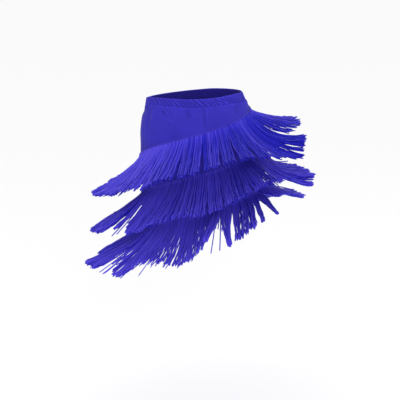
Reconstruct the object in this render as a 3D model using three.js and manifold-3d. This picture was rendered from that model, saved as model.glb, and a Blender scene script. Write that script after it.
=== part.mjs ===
// Latin dance skirt, hollow as when worn and swung: a gathered waistband, a
// front and a back panel, and three slanting tiers of long fringe.
// Millimetres, +Z up, +X to the skirt's high side, -Y to its front. The origin
// is the centre of the waistband, halfway down it.
import * as THREE from 'three';
import Module from 'manifold-3d';

const wasm = await Module();
wasm.setup();

// Waistband
const BAND_HEIGHT = 25;
const BAND_THICKNESS = 2.6;
const BAND_EDGE = 1.2; // rounding of its top and bottom folds
const GATHERS = 72;
const GATHER_RISE = 1.4; // crest of a gather above the band
const GATHER_LEAN = 20; // how far a gather runs sideways over the band's height
const STEPS_PER_GATHER = 3;

// Panels
const PANEL_THICKNESS = 1.5;
const SEAM_GAP = 0.3;
const SIDE_SEAMS = [-70, 110]; // angles from the front's centre
const SEAM_RADIUS = 117; // of the form at the seams, to turn their gap into an angle
const COLUMN_STEP = 5; // degrees between the columns of panels and tapes
const ROW_FRACTIONS = [0, 0.06, 0.13, 0.22, 0.35, 0.52, 0.74, 1];
const HEM_BELOW_TAPE = 28; // hem below the lowest tape

// Fringe
const TAPE_HEIGHT = 12;
const TAPE_THICKNESS = 1.5;
const TAPE_GAP = 0.4;
const TIER_SPACING = 102;
const LOCKS_PER_TIER = 72;
const LOCK_ROOT = 5; // the part of a lock that lies inside its tape
const LOCK_NECK = 2; // below the tape's edge, where a lock leaves it
const LOCK_WIDTH = 16;
const LOCK_DEPTH = 4.5;
const LOCK_ROOM = 0.82; // share of the way to its neighbour that a lock fills
const LOCK_STEPS = 24; // short straight steps that a lock's curve is summed from
const UNEVEN_RISE = 3; // degrees between the highest and lowest of neighbours
const UNEVEN_LENGTH = 0.06; // share by which some locks are shorter
const CURL = 12; // degrees by which a lock starts lower and ends higher

// Pose: the whole skirt leans, its +X side up
const LEAN = THREE.MathUtils.degToRad(4);

// The hollow form, by drop below the waistband's top edge: half the width, the
// depth before and behind the centre, and the section's shift to +X
const SECTIONS = [
  { drop: 0, half: 129, front: 93, back: 98, shift: 0 },
  { drop: 25, half: 136, front: 99, back: 106, shift: 1 },
  { drop: 50, half: 146.5, front: 107, back: 116, shift: 2 },
  { drop: 95, half: 157, front: 114, back: 129, shift: 4 },
  { drop: 160, half: 163, front: 117, back: 136, shift: 4 },
  { drop: 230, half: 165, front: 116, back: 135, shift: 4 },
  { drop: 320, half: 164, front: 115, back: 132, shift: 4 },
  { drop: 420, half: 161, front: 113, back: 127, shift: 4 },
];

// The first tape's top edge, by angle from the front's centre
const TAPE_LINE = [
  { angle: -180, drop: 108 },
  { angle: -145, drop: 142 },
  { angle: -110, drop: 160 },
  { angle: -80, drop: 146 },
  { angle: -50, drop: 122 },
  { angle: -20, drop: 102 },
  { angle: 12, drop: 83 },
  { angle: 42, drop: 66 },
  { angle: 72, drop: 52 },
  { angle: 100, drop: 44 },
  { angle: 125, drop: 50 },
  { angle: 152, drop: 76 },
];

// How the swung fringe lies, one table a tier and a row for each bundle: rise
// is degrees up from hanging straight down, sweep the turn of a lock's tip
// round the skirt towards growing angles, and length its real length
const TIERS = [
  [
    { angle: -180, rise: 60, sweep: 0, length: 180 },
    { angle: -145, rise: 58, sweep: 4, length: 180 },
    { angle: -110, rise: 55, sweep: 14, length: 180 },
    { angle: -75, rise: 58, sweep: 24, length: 180 },
    { angle: -60, rise: 57, sweep: 9, length: 180 },
    { angle: -45, rise: 61, sweep: 5, length: 180 },
    { angle: -22, rise: 67, sweep: 2, length: 180 },
    { angle: 0, rise: 68.5, sweep: -4, length: 180 },
    { angle: 12, rise: 70.5, sweep: -13, length: 180 },
    { angle: 22, rise: 72, sweep: -22, length: 180 },
    { angle: 32, rise: 72, sweep: -25, length: 180 },
    { angle: 42, rise: 68, sweep: -18, length: 180 },
    { angle: 55, rise: 63.5, sweep: -2, length: 178 },
    { angle: 65, rise: 67, sweep: -6, length: 176 },
    { angle: 76, rise: 73, sweep: -28, length: 174 },
    { angle: 82, rise: 76, sweep: -40, length: 174 },
    { angle: 87, rise: 77, sweep: 74, length: 174 },
    { angle: 100, rise: 77, sweep: 46, length: 176 },
    { angle: 116, rise: 79, sweep: 8, length: 178 },
    { angle: 150, rise: 66, sweep: 0, length: 180 },
  ],
  [
    { angle: -180, rise: 58, sweep: 0, length: 180 },
    { angle: -145, rise: 56, sweep: 0, length: 180 },
    { angle: -110, rise: 55, sweep: -4, length: 182 },
    { angle: -75, rise: 57, sweep: -6, length: 184 },
    { angle: -62, rise: 56.5, sweep: 0, length: 182 },
    { angle: -48, rise: 56, sweep: 0, length: 180 },
    { angle: -36, rise: 54, sweep: -12, length: 180 },
    { angle: -22, rise: 63, sweep: -8, length: 180 },
    { angle: -10, rise: 67, sweep: -4, length: 180 },
    { angle: 0, rise: 65, sweep: -8, length: 180 },
    { angle: 12, rise: 66.5, sweep: -12, length: 180 },
    { angle: 22, rise: 72, sweep: -19, length: 180 },
    { angle: 32, rise: 74, sweep: -30, length: 180 },
    { angle: 42, rise: 78, sweep: -32, length: 180 },
    { angle: 52, rise: 74.5, sweep: -20, length: 180 },
    { angle: 63, rise: 69, sweep: 4, length: 184 },
    { angle: 76, rise: 77, sweep: -24, length: 180 },
    { angle: 81, rise: 78, sweep: 76, length: 174 },
    { angle: 90, rise: 78, sweep: 64, length: 174 },
    { angle: 105, rise: 77, sweep: 40, length: 176 },
    { angle: 118, rise: 78, sweep: 14, length: 178 },
    { angle: 150, rise: 64, sweep: 0, length: 180 },
  ],
  [
    { angle: -180, rise: 54, sweep: 0, length: 184 },
    { angle: -145, rise: 60, sweep: 0, length: 186 },
    { angle: -110, rise: 65, sweep: -4, length: 186 },
    { angle: -75, rise: 63, sweep: -12, length: 202 },
    { angle: -62, rise: 57, sweep: -24, length: 204 },
    { angle: -50, rise: 52, sweep: -34, length: 202 },
    { angle: -38, rise: 46.5, sweep: -38, length: 194 },
    { angle: -26, rise: 51, sweep: -16, length: 188 },
    { angle: -14, rise: 56, sweep: -6, length: 186 },
    { angle: -4, rise: 63, sweep: -11, length: 184 },
    { angle: 6, rise: 72, sweep: -18, length: 182 },
    { angle: 14, rise: 75, sweep: -20, length: 180 },
    { angle: 22, rise: 67, sweep: -28, length: 180 },
    { angle: 32, rise: 72, sweep: -35, length: 180 },
    { angle: 42, rise: 78, sweep: -43, length: 180 },
    { angle: 52, rise: 80, sweep: -59, length: 180 },
    { angle: 64, rise: 82, sweep: -74, length: 178 },
    { angle: 71, rise: 84, sweep: -84, length: 176 },
    { angle: 76, rise: 73, sweep: 84, length: 170 },
    { angle: 88, rise: 72, sweep: 70, length: 172 },
    { angle: 101, rise: 71, sweep: 52, length: 176 },
    { angle: 115, rise: 71, sweep: 14, length: 180 },
    { angle: 150, rise: 60, sweep: 0, length: 182 },
  ],
];

// Where along a free lock its sections lie, and how wide and deep each is as a
// share of the lock's full size
const LOCK_BURIED_END = { width: 0.7, depth: 0.2 };
const LOCK_SECTIONS = [
  { along: 0, width: 0.7, depth: 0.28 },
  { along: 0.3, width: 0.9, depth: 0.9 },
  { along: 0.68, width: 1, depth: 1 },
  { along: 1, width: 0.4, depth: 0.5 },
];

// Materials, colours as seen in soft light
const CLOTH = { color: 0x3b34b6, roughness: 0.72, metalness: 0 };
const ELASTIC = { color: 0x3933ad, roughness: 0.78, metalness: 0 };
const FRINGE = { color: 0x443aaf, roughness: 0.55, metalness: 0 };

const DEGREE = Math.PI / 180;

// A value from 0 to 1 that looks random but is the same each time
function chance(n) {
  const s = Math.sin(n * 12.9898) * 43758.5453;
  return s - Math.floor(s);
}

// Smooth curve through a table's rows; with a period it closes on itself
function read(table, input, output, value, period) {
  const count = table.length;
  let v = value;
  if (period) {
    const first = table[0][input];
    v = first + ((((value - first) % period) + period) % period);
  }
  let i = 0;
  while (i < count - 1 && table[i + 1][input] <= v) {
    i += 1;
  }
  const at = (k) => {
    if (period) {
      const turns = Math.floor(k / count);
      const row = table[k - turns * count];
      return [row[input] + turns * period, row[output]];
    }
    const row = table[THREE.MathUtils.clamp(k, 0, count - 1)];
    return [row[input], row[output]];
  };
  const [x0, y0] = at(i - 1);
  const [x1, y1] = at(i);
  const [x2, y2] = at(i + 1);
  const [x3, y3] = at(i + 2);
  const width = x2 - x1;
  if (width === 0) {
    return y1;
  }
  const t = THREE.MathUtils.clamp((v - x1) / width, 0, 1);
  const slope1 = ((y2 - y0) / (x2 - x0)) * width;
  const slope2 = ((y3 - y1) / (x3 - x1)) * width;
  return (
    (2 * t ** 3 - 3 * t ** 2 + 1) * y1 +
    (t ** 3 - 2 * t ** 2 + t) * slope1 +
    (-2 * t ** 3 + 3 * t ** 2) * y2 +
    (t ** 3 - t ** 2) * slope2
  );
}

// Value of a bundle table at an angle: level at each row, so that the locks
// near a row follow it, with the change midway to the next
function bundled(table, output, angle) {
  const first = table[0].angle;
  const v = first + ((((angle - first) % 360) + 360) % 360);
  let i = 0;
  while (i < table.length - 1 && table[i + 1].angle <= v) {
    i += 1;
  }
  const next = table[(i + 1) % table.length];
  const end = i + 1 < table.length ? next.angle : next.angle + 360;
  const share = THREE.MathUtils.smoothstep(v, table[i].angle, end);
  return THREE.MathUtils.lerp(table[i][output], next[output], share);
}

function section(drop) {
  return {
    half: read(SECTIONS, 'drop', 'half', drop),
    front: read(SECTIONS, 'drop', 'front', drop),
    back: read(SECTIONS, 'drop', 'back', drop),
    shift: read(SECTIONS, 'drop', 'shift', drop),
  };
}

// Direction straight out of the form at an angle
function outward(angle, drop) {
  const { half, front, back } = section(drop);
  const a = angle * DEGREE;
  const depth = Math.cos(a) > 0 ? front : back;
  return new THREE.Vector3(Math.sin(a) / half, -Math.cos(a) / depth, 0).normalize();
}

// A point of the leaning skirt: out is the distance from the wall's inside
function point(angle, drop, out) {
  const { half, front, back, shift } = section(drop);
  const a = angle * DEGREE;
  const depth = Math.cos(a) > 0 ? front : back;
  const normal = outward(angle, drop);
  const x = half * Math.sin(a) + shift + out * normal.x;
  const y = -depth * Math.cos(a) + out * normal.y;
  const z = BAND_HEIGHT / 2 - drop;
  const c = Math.cos(LEAN);
  const s = Math.sin(LEAN);
  return new THREE.Vector3(c * x - s * z, y, s * x + c * z);
}

function tapeTop(tier, angle) {
  return read(TAPE_LINE, 'angle', 'drop', angle, 360) + tier * TIER_SPACING;
}

function hemDrop(angle) {
  return tapeTop(2, angle) + TAPE_HEIGHT + HEM_BELOW_TAPE;
}

// Closed solid through sections, each a ring of points; a loop of sections
// closes on its first, and otherwise both ends are capped
function loft(sections, isLoop) {
  const size = sections[0].length;
  const positions = sections.flat().flatMap((p) => [p.x, p.y, p.z]);
  const faces = [];
  const spans = isLoop ? sections.length : sections.length - 1;
  for (let i = 0; i < spans; i += 1) {
    const here = i * size;
    const there = ((i + 1) % sections.length) * size;
    for (let j = 0; j < size; j += 1) {
      const k = (j + 1) % size;
      faces.push([here + j, there + j, there + k]);
      faces.push([here + j, there + k, here + k]);
    }
  }
  if (!isLoop) {
    const last = (sections.length - 1) * size;
    for (let j = 0; j + 1 <= size - 2 - j; j += 1) {
      const a = j;
      const b = j + 1;
      const c = size - 2 - j;
      const d = size - 1 - j;
      if (b !== c) {
        faces.push([a, b, c]);
        faces.push([last + a, last + c, last + b]);
      }
      faces.push([a, c, d]);
      faces.push([last + a, last + d, last + c]);
    }
  }
  return { positions, faces };
}

// Turns the faces outwards if the solid is inside out
function geometryOf({ positions, faces }) {
  const corner = (i) => new THREE.Vector3().fromArray(positions, i * 3);
  let volume = 0;
  for (const [a, b, c] of faces) {
    volume += corner(a).dot(corner(b).cross(corner(c)));
  }
  const outFaces = volume > 0 ? faces : faces.map(([a, b, c]) => [a, c, b]);
  const geometry = new THREE.BufferGeometry();
  geometry.setAttribute('position', new THREE.Float32BufferAttribute(positions, 3));
  geometry.setIndex(outFaces.flat());
  return geometry;
}

function solidOf(geometry) {
  return new wasm.Manifold(
    new wasm.Mesh({
      numProp: 3,
      vertProperties: geometry.getAttribute('position').array,
      triVerts: Uint32Array.from(geometry.getIndex().array),
    }),
  );
}

function geometryFromSolid(solid) {
  const mesh = solid.getMesh();
  const geometry = new THREE.BufferGeometry();
  geometry.setAttribute('position', new THREE.BufferAttribute(mesh.vertProperties, 3));
  geometry.setIndex(new THREE.BufferAttribute(mesh.triVerts, 1));
  return geometry;
}

function piece(name, geometry, finish) {
  geometry.computeVertexNormals();
  const mesh = new THREE.Mesh(geometry, new THREE.MeshStandardMaterial(finish));
  mesh.name = name;
  return mesh;
}

// Waistband: gathers are raised on its outer face only, and lean as they go down
function waistband() {
  const leanPerDrop = GATHER_LEAN / (SECTIONS[0].half * DEGREE) / BAND_HEIGHT;
  const profile = [
    { drop: BAND_EDGE, out: 0, gather: 0 },
    { drop: 0, out: BAND_THICKNESS / 2, gather: 0 },
    { drop: BAND_EDGE, out: BAND_THICKNESS, gather: 0.55 },
    { drop: BAND_HEIGHT - BAND_EDGE, out: BAND_THICKNESS, gather: 1 },
    { drop: BAND_HEIGHT, out: BAND_THICKNESS / 2, gather: 0 },
    { drop: BAND_HEIGHT - BAND_EDGE, out: 0, gather: 0 },
  ];
  const sections = [];
  const columns = GATHERS * STEPS_PER_GATHER;
  for (let i = 0; i < columns; i += 1) {
    const gather = Math.floor(i / STEPS_PER_GATHER);
    const isCrest = i % STEPS_PER_GATHER === 1;
    const crest = isCrest ? GATHER_RISE * (0.6 + 0.4 * chance(gather)) : 0;
    const angle = (i / columns) * 360 - 180;
    sections.push(
      profile.map(({ drop, out, gather: share }) =>
        point(angle + leanPerDrop * drop, drop, out + crest * share),
      ),
    );
  }
  return geometryOf(loft(sections, true));
}

// A panel between two seams: outside points from waist to hem, inside ones back
function panel(fromAngle, toAngle) {
  const top = BAND_HEIGHT + SEAM_GAP;
  const columns = Math.round((toAngle - fromAngle) / COLUMN_STEP);
  const sections = [];
  for (let i = 0; i <= columns; i += 1) {
    const seamward = i === 0 ? 1 : i === columns ? -1 : 0;
    const angle = fromAngle + i * COLUMN_STEP;
    const hem = hemDrop(angle);
    const halfGap = SEAM_GAP / 2 / (SEAM_RADIUS * DEGREE);
    const inset = angle + seamward * halfGap;
    const drops = ROW_FRACTIONS.map((fraction) => top + fraction * (hem - top));
    const outside = drops.map((drop) => point(inset, drop, PANEL_THICKNESS));
    const inside = drops.map((drop) => point(inset, drop, 0));
    sections.push([...outside, ...inside.reverse()]);
  }
  return geometryOf(loft(sections, false));
}

function tape(tier) {
  const inner = PANEL_THICKNESS + TAPE_GAP;
  const outer = inner + TAPE_THICKNESS;
  const sections = [];
  for (let angle = -180; angle < 180; angle += COLUMN_STEP) {
    const top = tapeTop(tier, angle);
    const bottom = top + TAPE_HEIGHT;
    sections.push([
      point(angle, top, inner),
      point(angle, top, outer),
      point(angle, bottom, outer),
      point(angle, bottom, inner),
    ]);
  }
  return geometryOf(loft(sections, true));
}

// The middle line of a lock, from inside its tape to its tip
function lockLine(tier, index) {
  const angle = ((index + 0.5) / LOCKS_PER_TIER) * 360 - 180;
  const key = tier * LOCKS_PER_TIER + index;
  const table = TIERS[tier];
  const rise = bundled(table, 'rise', angle) + UNEVEN_RISE * (chance(key) - 0.5);
  const sweep = bundled(table, 'sweep', angle);
  const length = bundled(table, 'length', angle) * (1 - UNEVEN_LENGTH * chance(key + 0.5));
  const bottom = tapeTop(tier, angle) + TAPE_HEIGHT;
  const middle = PANEL_THICKNESS + TAPE_GAP + TAPE_THICKNESS / 2;
  const root = point(angle, bottom - LOCK_ROOT, middle);
  const away = outward(angle, bottom);
  const around = new THREE.Vector3(-away.y, away.x, 0);
  const line = [{ place: root, ...LOCK_BURIED_END }];
  const place = point(angle, bottom + LOCK_NECK, middle);
  const stops = LOCK_SECTIONS.map((stop) => Math.round(stop.along * LOCK_STEPS));
  for (let k = 0; k <= LOCK_STEPS; k += 1) {
    if (stops.includes(k)) {
      const { width, depth } = LOCK_SECTIONS[stops.indexOf(k)];
      line.push({ place: place.clone(), width, depth });
    }
    const mid = (k + 0.5) / LOCK_STEPS;
    const up = (rise + CURL * (2 * mid - 1)) * DEGREE;
    const turn = sweep * mid * DEGREE;
    const flat = away.clone().multiplyScalar(Math.cos(turn));
    flat.addScaledVector(around, Math.sin(turn)).multiplyScalar(Math.sin(up));
    flat.z = -Math.cos(up);
    place.addScaledVector(flat, length / LOCK_STEPS);
  }
  return line;
}

// A three-sided lock: flat below, ridged above, no wider than its room
function lock(line, before, after) {
  const sections = line.map(({ place, width, depth }, k) => {
    const end = Math.max(k, 1);
    const forward = line[end].place.clone().sub(line[end - 1].place).normalize();
    const across = after[k].place.clone().sub(before[k].place);
    across.addScaledVector(forward, -across.dot(forward)).normalize();
    const above = forward.clone().cross(across).normalize();
    const room = Math.min(place.distanceTo(before[k].place), place.distanceTo(after[k].place));
    const halfWidth = (Math.min(LOCK_WIDTH, LOCK_ROOM * room) * width) / 2;
    const halfDepth = (LOCK_DEPTH * depth) / 2;
    return [
      place.clone().addScaledVector(across, halfWidth).addScaledVector(above, -halfDepth),
      place.clone().addScaledVector(across, -halfWidth).addScaledVector(above, -halfDepth),
      place.clone().addScaledVector(above, halfDepth),
    ];
  });
  return geometryOf(loft(sections, false));
}

function fringeTier(tier) {
  const lines = [];
  for (let i = 0; i < LOCKS_PER_TIER; i += 1) {
    lines.push(lockLine(tier, i));
  }
  let solid = solidOf(tape(tier));
  lines.forEach((line, i) => {
    const before = lines[(i + LOCKS_PER_TIER - 1) % LOCKS_PER_TIER];
    const after = lines[(i + 1) % LOCKS_PER_TIER];
    solid = solid.add(solidOf(lock(line, before, after)));
  });
  return geometryFromSolid(solid);
}

const skirt = new THREE.Group();
const [leftSeam, rightSeam] = SIDE_SEAMS;
skirt.add(piece('waistband', waistband(), ELASTIC));
skirt.add(piece('front_panel', panel(leftSeam, rightSeam), CLOTH));
skirt.add(piece('back_panel', panel(rightSeam, leftSeam + 360), CLOTH));
TIERS.forEach((table, tier) => {
  skirt.add(piece(`fringe_tier_${tier + 1}`, fringeTier(tier), FRINGE));
});

export default skirt;
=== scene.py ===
import math

import bpy
import numpy as np
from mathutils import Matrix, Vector


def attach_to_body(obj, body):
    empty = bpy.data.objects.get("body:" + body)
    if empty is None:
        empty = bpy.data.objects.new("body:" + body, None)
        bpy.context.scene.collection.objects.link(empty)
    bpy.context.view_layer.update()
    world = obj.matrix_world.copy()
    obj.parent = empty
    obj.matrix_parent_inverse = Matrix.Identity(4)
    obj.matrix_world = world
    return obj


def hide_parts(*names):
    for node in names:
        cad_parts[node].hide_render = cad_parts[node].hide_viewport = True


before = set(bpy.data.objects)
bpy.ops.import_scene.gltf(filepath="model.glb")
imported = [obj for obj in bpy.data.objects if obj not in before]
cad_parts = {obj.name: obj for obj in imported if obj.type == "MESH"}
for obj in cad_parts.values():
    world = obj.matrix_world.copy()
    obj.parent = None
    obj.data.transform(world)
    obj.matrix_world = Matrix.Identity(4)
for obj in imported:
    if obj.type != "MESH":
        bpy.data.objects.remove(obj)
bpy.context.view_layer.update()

# A latin dance skirt, hollow as when worn and swung: a gathered waistband, two
# panels, and three slanting tiers of long fringe. Shapes are worked out in
# millimetres and degrees, and become metres where a mesh is made. Angles run
# from the front's centre, and grow towards +X.
MM = 0.001


def table(names, rows):
    """A short table as one array for each named column."""
    return dict(zip(names.split(), np.array(rows, float).T))


# Waistband
BAND_HEIGHT = 25.0
BAND_MM_PER_DEGREE = 2.25
GATHERS = 72
COLUMNS_PER_GATHER = 12
GATHER_LEAN = 20.0        # how far a gather runs sideways over the band's height
GATHER_RISE = 2.8
GATHER_BEND = 0.7         # degrees that a gather bows to each side
GATHER_STRENGTH = 0.85
CREST_POWER = 0.8         # under 1 for round crests and narrow valleys
BAND_VALLEY = 1.5         # from the form to the band's outer face between two gathers
FOLD_PAINTED_SHADE = 0.8          # painted shade: how much darker the bottom of a fold is
INNER_ROWS = np.linspace(0.05, 0.95, 10)  # shares of the band's height
INNER_RIB = 0.35          # faint ribs of the elastic, inside the band

# Across the band from its rolled top to its lower seam: how far down it is, the
# share of the wall's thickness there, and how high the gathers stand
BAND_RING = table("down share height", [
    (0.036, 0, 0), (0.01, 0.25, 0), (0, 0.5, 0.1), (0.008, 0.75, 0.25), (0.032, 1, 0.4),
    (0.08, 1, 0.7), (0.16, 1, 0.9), (0.28, 1, 1), (0.4, 1, 1), (0.52, 1, 1), (0.64, 1, 1),
    (0.76, 1, 1), (0.86, 1, 0.95), (0.93, 1, 0.8), (0.975, 0.95, 0.45), (1, 0.7, 0.1),
    (0.995, 0.3, 0), (0.97, 0, 0),
])

# Where the gathers bow further, and where they are stretched smoother
FOLDS = table("angle width bend", [(29, 4, 2.2), (38, 4, 2.6), (8, 5, -1.6)])
SMOOTHER = table("angle width less", [(-76, 9, 0.6), (100, 12, 0.35)])

# Waves round the skirt that keep it uneven: height, waves in a turn, phase
BEND_WAVES = [(0.7, 3, 0.8)]
SPACING_WAVES = [(0.35, 5, 1.0), (0.3, 13, 2.0)]
STRENGTH_WAVES = [(0.15, 9, 0.6)]
PUFF_WAVES = [(2.5, 23, 1.0), (2.0, 41, 0.0)]
PUCKER_WAVES = [(1.2, 17, 0.0)]

# Panels
CLOTH = 1.2               # from the form to the cloth's outer face
LINING = 0.1              # and to its inner face
TUCK = 0.8                # how far a panel's top edge goes up into the band
SIDE_SEAMS = (-70.0, 110.0)
# A seam sinks into a groove; its shade is painted shade in that groove
SEAM = {"depth": 0.7, "width": 1.6, "shade": 0.25}
HEM_BELOW_TAPE = 28.0
HEM_LINE = {"up": 18.0, "depth": 0.35, "width": 1.2}
PANEL_COLUMNS = 241
PANEL_ROWS = np.concatenate([np.linspace(0, 0.25, 46)[:-1], np.linspace(0.25, 1, 56)])
MM_PER_DEGREE = 2.5       # round the form, for measures along the cloth
CREASE_SCALE = 3.0        # times the heights in the table of creases
# How a crease swells at its upper end and fades at its lower, by share of its length
CREASE_ENDS = {"before": 0.12, "after": 0.1, "swell": 4.0, "fade": 2.0}
# The cloth swells out and puckers below the waistband
PUFF = {"height": 1.6, "start": -1.0, "swell": 2.0, "reach": 11.0, "fade": 7.0}
PUCKER = {"height": 0.9, "reach": 8.0}
# Fine ripples above the first tape, with their turn in radians a millimetre
RIPPLE = {"height": 0.6, "above": 8.0, "width": 7.0, "turn": 1.35}
RIPPLE_SIDES = {"from": -68.0, "swell": 22.0, "to": 2.0, "fade": 26.0}
CLOTH_SHADE = 0.8         # of flat cloth, where 1 is the lightest
RELIEF_PAINTED_SHADE = 0.055      # painted shade and light: darker for each millimetre of a trough, lighter for each of a ridge
DARKEST_CLOTH = 0.3
# Painted shade on the cloth over the left hip, which turns away from the light
HIP_PAINTED_SHADE = {"angle": -84.0, "width": 17.0, "less": 0.22}

# Fringe
TIERS = 3
TIER_SPACING = 102.0
TAPE_HEIGHT = 12.0
TAPE_OUT = 1.9            # from the form to the tape's inner face
TAPE_THICKNESS = 1.4
TAPE_EDGE = 0.1           # share of the thickness by which its inner edges round off
TAPE_RIBS = 310
COLUMNS_PER_RIB = 4
RIB_HEIGHT = 0.3

# Down the tape: the share of its thickness, and how high its ribs stand
TAPE_RING = table("down proud ribbed", [
    (0, 0.45, 0), (0.25, 0.8, 0), (1.2, 1, 0.2), (3.5, 1, 0.5), (6, 1, 0.7), (8.5, 1, 0.9),
    (10.8, 1, 1), (11.75, 0.8, 1), (12, 0.45, 0.5),
])

FIRST_SEED = 60           # of the random draws, one more for each tier
STRANDS_PER_TIER = 1080
STRAND_SPACING = (0.1, 0.9)  # where a strand leaves within its own step round the tape
STRAND_SIDES = 5
STRAND_RADIUS = 1.5
STRAND_MIDDLE = TAPE_OUT + TAPE_THICKNESS * 0.75      # from the form to its middle line
# Where a strand's rings of points lie, by share of its length
STRAND_STOPS = np.array([0, 0.02, 0.05, 0.1, 0.18, 0.27, 0.37, 0.47, 0.57, 0.67, 0.77, 0.86,
                         0.93, 0.98, 1.0])
ALONG = STRAND_STOPS[None, :, None]
RADIUS_SHARES = (0.85, 1.15)
TIP_RADIUS = 0.55         # of the strand's own
MOST_SPIN = 6.0           # radians that a strand's sides are turned
ROOT_UP = 8.0             # how far up the tape a strand is stitched on
LEAVES_UP = 3.0           # and where it leaves the tape
ROOT_DROOP = {"angle": 26.0, "reach": 0.035}          # it hangs lower at first
LINE_STEPS = 48
SWEEP_SHARE = 0.6         # of a bundle's sweep, by which its strands turn aside
SWEEP_REACH = 0.15        # share of its length in which a strand turns
PARTING_TURN = 39.0       # where neighbours turn apart by more, the fringe parts
SHORTER = 0.07            # share of its length, at most, by which a strand is shorter
RAGGED_POWER = 0.4
BUNDLE_PULLS = (0.8, 1.1)  # least and most of its bundle's gather that a strand follows
BUNDLE_START = 0.08       # share of its length where it starts to
BUNDLE_REACH = 0.85
CLUMP_DEGREES = 1.5
CLUMPS = int(360 / CLUMP_DEGREES)
CLUMP_SPACING = (0.2, 0.8)
CLUMP_REACH = 60.0        # a strand whose end is further off isn't drawn to its clump
CLUMP_PULLS = (0.1, 0.6)  # share of the way to its middle, by clump
STRAND_PULLS = (0.6, 1.1)
CLUMP_START = 0.05
CLUMP_GAIN = 0.85
OUT_OF_REACH = 99.0       # degrees, for clumps of other bundles
WAVER = {"height": 1.4, "power": 0.8, "swell": 6.0, "waves": (1.2, 2.8)}
# Strands in the middle of a clump lie further out and rise more than at its sides
LIFT = {"middle": 0.8, "spread": 0.4, "rise": 2.2, "out": 0.9}

# How far the lines of clumps and of strands stray from their bundle's, in degrees
CLUMP_SPREAD = {"rise": 1.2, "sweep": 2.5, "curl": 1.5}
STRAND_SPREAD = {"rise": 0.9, "sweep": 1.3, "curl": 1.5}

# Strands' shades, where 0 is the darkest and 1 the lightest
MEAN_SHADE = 0.5
SHADE_SPREAD = (0.18, 0.28, 0.32)  # from strand to strand, by tier
CLUMP_SHADE = 0.12        # from clump to clump
LAYER_PAINTED_SHADE = 0.5         # painted light on the strands in front, painted shade on those behind
# Painted light: strands are lighter near the tape, fading within a share of their length
ROOT_PAINTED_LIGHT = {"more": 0.15, "reach": 0.05}

# Strands that hang by themselves, outside the others
STRAY_CURL = 6.0
STRAY_OUT = 1.5

# Tubes start from a direction that no strand runs along: up, tipped outwards
UP = np.array([0.0, 0.0, 1.0])
OUT_TIP = 0.3
FORM_RADIUS = 150.0

# Materials: each point has a lay, which holds where it is along and across the cloth or yarn, and its
# shade, which holds painted light and shade as well. A wall holds its shade in thousandths, and 0 on
# its inner face, which gets painted shade.
BUMP_DEPTH = 0.0003       # metres
DEEPEST_PAINTED_SHADE = 0.3        # painted shade at the bottom of folds and troughs, as a share of the dark colour
INSIDE_PAINTED_SHADE = 0.62         # painted shade on a wall's inner face, as a share of the dark colour
INNER_SHADE = 0.05 * MM   # only a wall's inner face has less
KNIT_RELIEF = {"wales": 0.6, "courses": 0.4, "ribs": 1.6, "fuzz": 0.9}
KNIT_DYE = {"cloud": 0.8, "fuzz": 0.25}
DYE_RANGE = (0.3, 0.75)   # where the dark and the light colour stand
COURSES_PER_WALE = 1.4
CLOUD = {"scale": 14.0, "detail": 4.0}
FUZZ = {"scale": 900.0, "detail": 2.0}
TWIST_PITCH = 3.2
TWIST_SHADE = 0.08

# Stitches
STITCH = {"length": 2.3, "pitch": 3.4, "radius": 0.3, "bow": 0.22}
STITCH_LINE = table("along radius", [(-0.5, 0.6), (-0.2, 1), (0.2, 1), (0.5, 0.6)])
STITCH_SHADE = 0.8
TAPE_STITCHES = {"upper": 2.6, "lower": 9.4}          # down from the tape's top edge
SEAM_STITCHES = 2.0                                   # below the band
HEM_STITCHES = (17.0, 20.0)                           # up from the hem

LEAN = math.radians(4.0)  # the whole skirt leans, its +X side up

# Camera, light and floor, in metres
CAMERA = {"aim": (0.01503, 0, -0.28503), "distance": 3.4, "height": math.radians(13), "lens": 109.3}
SENSOR = 36.0
LIGHTS = [
    {"name": "key", "place_at": (0.5, -3.6, 1.0), "aim": (0, 0, -0.28), "size": 1.6, "power": 46.5},
    {"name": "top", "place_at": (-0.3, -1.4, 3.4), "aim": (0, 0, -0.2), "size": 2.0, "power": 10},
]
FLOOR = {"half": 60.0, "level": -1.0, "colour": (0.95, 0.95, 0.95, 1)}

# The hollow form by drop below the waistband's top edge: half the width, depth
# before and behind the centre, and the section's shift to +X
SECTIONS = table("drop half front back shift", [
    (0, 129, 93, 98, 0),
    (25, 136, 99, 106, 1),
    (50, 146.5, 107, 116, 2),
    (95, 157, 114, 129, 4),
    (160, 163, 117, 136, 4),
    (230, 165, 116, 135, 4),
    (320, 164, 115, 132, 4),
    (420, 161, 113, 127, 4),
])

# The waistband's edges: it rides up over the front of the left hip
BAND_EDGES = table("angle top bottom", [
    (-180, 0, 25), (-150, 1.4, 25), (-120, 1.4, 25), (-98, 0.4, 23), (-82, -3, 18),
    (-64, -6.6, 13.6), (-44, -6.8, 12.4), (-24, -4.6, 15.8), (-8, -2, 20), (10, 0.6, 22.3),
    (28, 1.2, 22), (46, 0, 22.2), (62, -0.8, 24), (85, 0, 25), (130, 0, 25), (162, -1.2, 25),
])

# The first tape's top edge, by angle from the front's centre
TAPE_LINE = table("angle drop", [
    (-180, 108), (-145, 142), (-110, 160), (-80, 146), (-50, 122), (-20, 102),
    (12, 83), (42, 66), (72, 52), (100, 44), (125, 50), (152, 76),
])

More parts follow.
